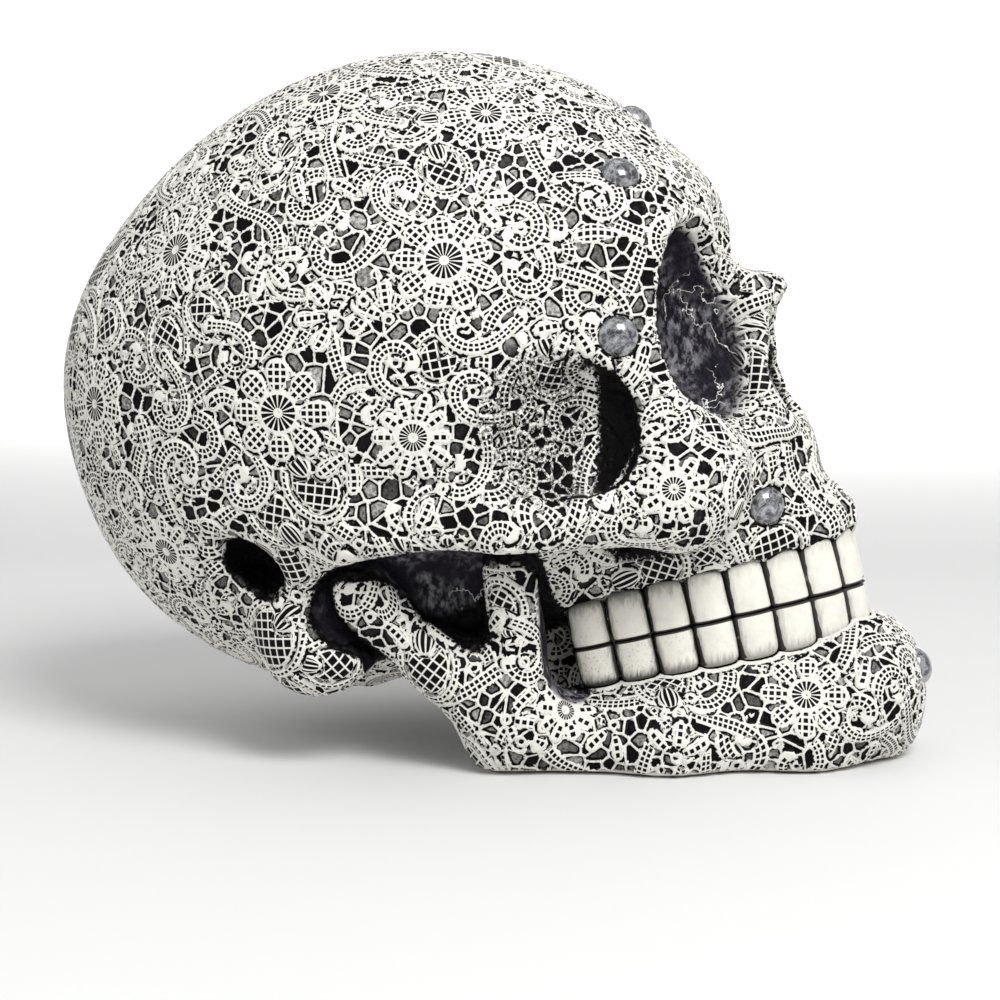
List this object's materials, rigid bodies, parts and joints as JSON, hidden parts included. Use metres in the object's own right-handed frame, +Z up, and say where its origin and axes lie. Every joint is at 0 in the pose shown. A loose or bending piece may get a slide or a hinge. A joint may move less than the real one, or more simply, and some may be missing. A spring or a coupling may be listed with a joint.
{
  "type": "sugar skull",
  "caption": "Decorative lace-carved sugar skull with a hollow cranium, separate jaw, inset teeth and glass gems; stands on its flat jaw base.",
  "frame": {"origin": "middle of the whole skull's outline seen from above, on the surface that it stands on", "axes": "+Z up, the face looks along -Y, +X is the skull's left"},
  "size_m": [0.1406, 0.2352, 0.184],
  "materials": {
    "cast_resin": "off-white lace relief over a black painted ground",
    "tooth_resin": "satin off-white with dark washed gaps",
    "gem_glass": "clear domed glass over crinkled foil"
  },
  "bodies": {
    "root": {"cranium": "cast_resin", "mandible": "cast_resin", "upper_tooth_left_1": "tooth_resin", "upper_tooth_left_2": "tooth_resin", "upper_tooth_left_3": "tooth_resin", "upper_tooth_left_4": "tooth_resin", "upper_tooth_left_5": "tooth_resin", "upper_tooth_left_6": "tooth_resin", "upper_tooth_left_7": "tooth_resin", "upper_tooth_left_8": "tooth_resin", "upper_tooth_right_1": "tooth_resin", "upper_tooth_right_2": "tooth_resin", "upper_tooth_right_3": "tooth_resin", "upper_tooth_right_4": "tooth_resin", "upper_tooth_right_5": "tooth_resin", "upper_tooth_right_6": "tooth_resin", "upper_tooth_right_7": "tooth_resin", "upper_tooth_right_8": "tooth_resin", "lower_tooth_left_1": "tooth_resin", "lower_tooth_left_2": "tooth_resin", "lower_tooth_left_3": "tooth_resin", "lower_tooth_left_4": "tooth_resin", "lower_tooth_left_5": "tooth_resin", "lower_tooth_left_6": "tooth_resin", "lower_tooth_left_7": "tooth_resin", "lower_tooth_left_8": "tooth_resin", "lower_tooth_right_1": "tooth_resin", "lower_tooth_right_2": "tooth_resin", "lower_tooth_right_3": "tooth_resin", "lower_tooth_right_4": "tooth_resin", "lower_tooth_right_5": "tooth_resin", "lower_tooth_right_6": "tooth_resin", "lower_tooth_right_7": "tooth_resin", "lower_tooth_right_8": "tooth_resin", "gem_temple_left": "gem_glass", "gem_temple_right": "gem_glass", "gem_brow_left": "gem_glass", "gem_brow_right": "gem_glass", "gem_forehead": "gem_glass", "gem_cheek_left": "gem_glass", "gem_cheek_right": "gem_glass", "gem_chin": "gem_glass"}
  },
  "joints": []
}
